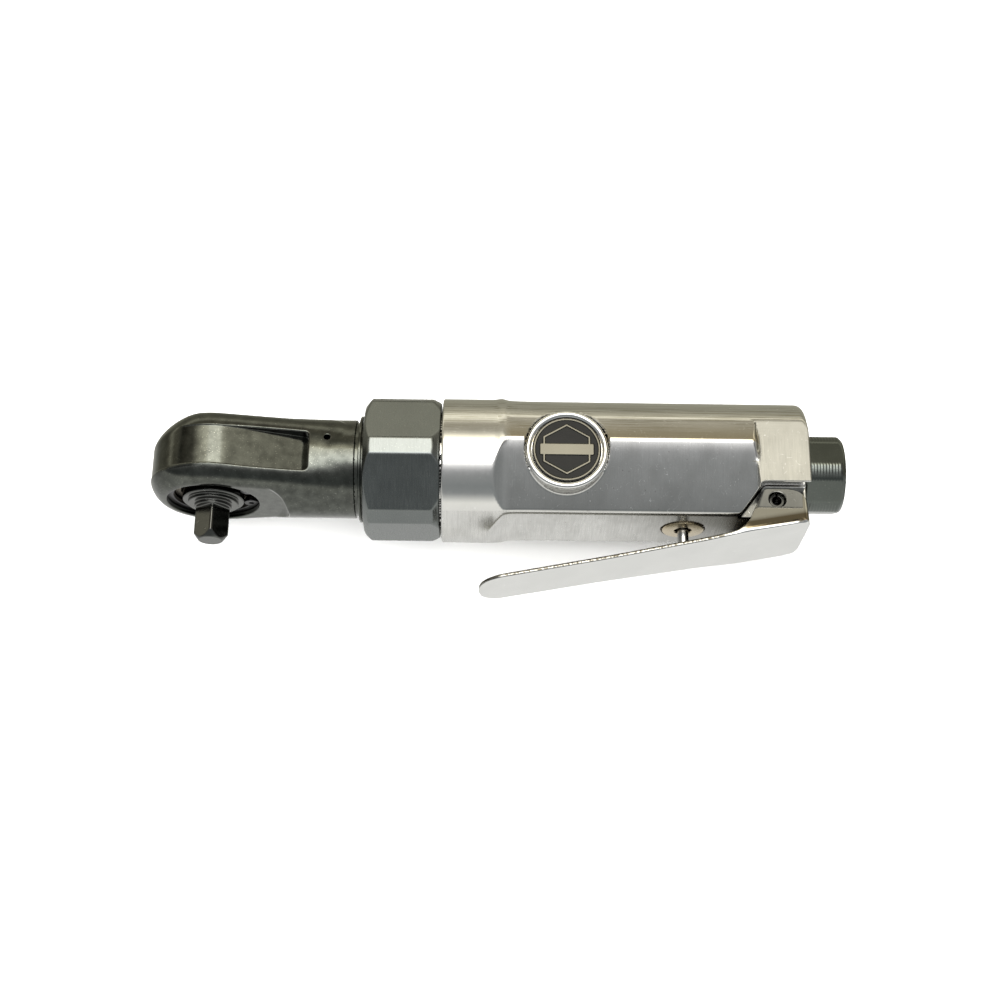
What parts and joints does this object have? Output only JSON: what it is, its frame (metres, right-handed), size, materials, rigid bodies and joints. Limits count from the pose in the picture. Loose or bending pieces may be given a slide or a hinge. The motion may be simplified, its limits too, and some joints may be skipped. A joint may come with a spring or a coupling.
{
  "type": "air ratchet wrench",
  "caption": "Inline pneumatic ratchet wrench: steel ratchet head with a square drive, clamp nut, cast grip with a vane motor, bent throttle lever and threaded air inlet.",
  "frame": {"origin": "centre of the square drive's end face", "axes": "+X along the barrel from the ratchet head to the air inlet, -Y out of the square drive, +Z out of the badge side"},
  "size_m": [0.1736, 0.0502, 0.0362],
  "materials": {
    "cast_grip": "polished casting with fine scratches",
    "black_oxide": "black oxide over fine blasting",
    "nut_steel": "dark oxide, machined facets",
    "nickel": "nickel plated",
    "steel": "ground steel",
    "hard_steel": "hardened steel",
    "spring_steel": "spring steel",
    "bronze": "bearing bronze",
    "brass": "turned brass",
    "phenolic": "phenolic fibre",
    "rubber": "nitrile rubber",
    "badge_face": "dark anodised disc"
  },
  "bodies": {
    "barrel": {"head_housing": "black_oxide", "head_snap_ring": "spring_steel", "anvil_thrust_washer": "bronze", "neck_bearing": "hard_steel", "ring_gear": "hard_steel", "clamp_nut": "nut_steel", "nut_retaining_ring": "nickel", "motor_housing": "cast_grip", "front_end_plate": "steel", "front_bearing": "hard_steel", "rear_bearing": "hard_steel", "cylinder_liner": "hard_steel", "rear_end_plate": "steel", "cylinder_dowel": "steel", "valve_bushing": "bronze", "stem_o_ring": "rubber", "valve_seat": "brass", "valve_spring": "spring_steel", "inlet_bushing": "black_oxide", "inlet_screen": "brass", "lever_pin": "steel", "name_plate": "badge_face", "name_bezel": "nickel"},
    "yoke": {"ratchet_yoke": "hard_steel"},
    "anvil": {"anvil": "steel", "pawl_pin": "steel", "socket_ball_spring": "spring_steel"},
    "pawl": {"pawl": "hard_steel"},
    "knob": {"reverse_knob": "black_oxide", "pawl_plunger": "steel", "pawl_plunger_spring": "spring_steel"},
    "detent": {"socket_ball": "steel"},
    "crank": {"crankshaft": "steel", "drive_bushing": "bronze", "planet_pin_1": "steel", "planet_pin_2": "steel", "planet_pin_3": "steel"},
    "planet_1": {"planet_gear_1": "hard_steel"},
    "planet_2": {"planet_gear_2": "hard_steel"},
    "planet_3": {"planet_gear_3": "hard_steel"},
    "rotor": {"rotor": "steel", "vane_1": "phenolic", "vane_2": "phenolic", "vane_3": "phenolic", "vane_4": "phenolic", "vane_5": "phenolic"},
    "stem": {"valve_stem": "steel"},
    "valve": {"tilt_valve": "brass", "valve_face_seal": "rubber"},
    "lever": {"throttle_lever": "nickel"}
  },
  "joints": [
    {"name": "lever_pivot", "type": "hinge", "parent": "barrel", "child": "lever", "pos_m": [0.1398, 0.009, 0], "axis": [0, 0, -1], "range_deg": [0, 9.5], "stiffness_Nm_per_rad": 0.6, "springref_deg": -14.32},
    {"name": "stem_slide", "type": "slide", "parent": "barrel", "child": "stem", "axis": [0, 1, 0], "range_m": [0, 0.0038]},
    {"name": "valve_tilt", "type": "hinge", "parent": "barrel", "child": "valve", "pos_m": [0.1304, 0.0147, 0], "axis": [0, 0, -1], "range_deg": [0, 12.5], "deforming": ["valve_spring"]},
    {"name": "rotor_spin", "type": "hinge", "parent": "barrel", "child": "rotor", "pos_m": [0.08, 0.0196, 0], "axis": [1, 0, 0], "continuous": true},
    {"name": "crank_spin", "type": "hinge", "parent": "barrel", "child": "crank", "pos_m": [0.03, 0.0196, 0], "axis": [1, 0, 0], "continuous": true},
    {"name": "planet_1_spin", "type": "hinge", "parent": "crank", "child": "planet_1", "pos_m": [0.055, 0.0196, 0.006], "axis": [1, 0, 0], "continuous": true},
    {"name": "planet_2_spin", "type": "hinge", "parent": "crank", "child": "planet_2", "pos_m": [0.055, 0.0144, -0.003], "axis": [1, 0, 0], "continuous": true},
    {"name": "planet_3_spin", "type": "hinge", "parent": "crank", "child": "planet_3", "pos_m": [0.055, 0.0248, -0.003], "axis": [1, 0, 0], "continuous": true},
    {"name": "yoke_swing", "type": "hinge", "parent": "barrel", "child": "yoke", "pos_m": [0, 0.0196, 0], "axis": [0, 1, 0], "range_deg": [-4.5, 4.5]},
    {"name": "anvil_spin", "type": "hinge", "parent": "barrel", "child": "anvil", "pos_m": [0, 0.0196, 0], "axis": [0, 1, 0], "continuous": true},
    {"name": "knob_turn", "type": "hinge", "parent": "anvil", "child": "knob", "pos_m": [0, 0.0196, 0], "axis": [0, 1, 0], "range_deg": [0, 30]},
    {"name": "pawl_rock", "type": "hinge", "parent": "anvil", "child": "pawl", "pos_m": [0.0056, 0.0196, 0], "axis": [0, 1, 0], "range_deg": [-10, 0]},
    {"name": "socket_ball_press", "type": "slide", "parent": "anvil", "child": "detent", "axis": [-0.6157, 0, 0.788], "range_m": [0, 0.0004], "stiffness_N_per_m": 300, "springref_m": -0.0003}
  ],
  "couplings": [
    {"joint": "stem_slide", "follows": "lever_pivot", "m_per_rad": 0.0222},
    {"joint": "valve_tilt", "follows": "lever_pivot", "ratio": 1.2632},
    {"joint": "crank_spin", "follows": "rotor_spin", "ratio": 0.20833},
    {"joint": "planet_1_spin", "follows": "rotor_spin", "ratio": -0.56548},
    {"joint": "planet_2_spin", "follows": "rotor_spin", "ratio": -0.56548},
    {"joint": "planet_3_spin", "follows": "rotor_spin", "ratio": -0.56548},
    {"joint": "pawl_rock", "follows": "knob_turn", "ratio": -0.33333}
  ]
}
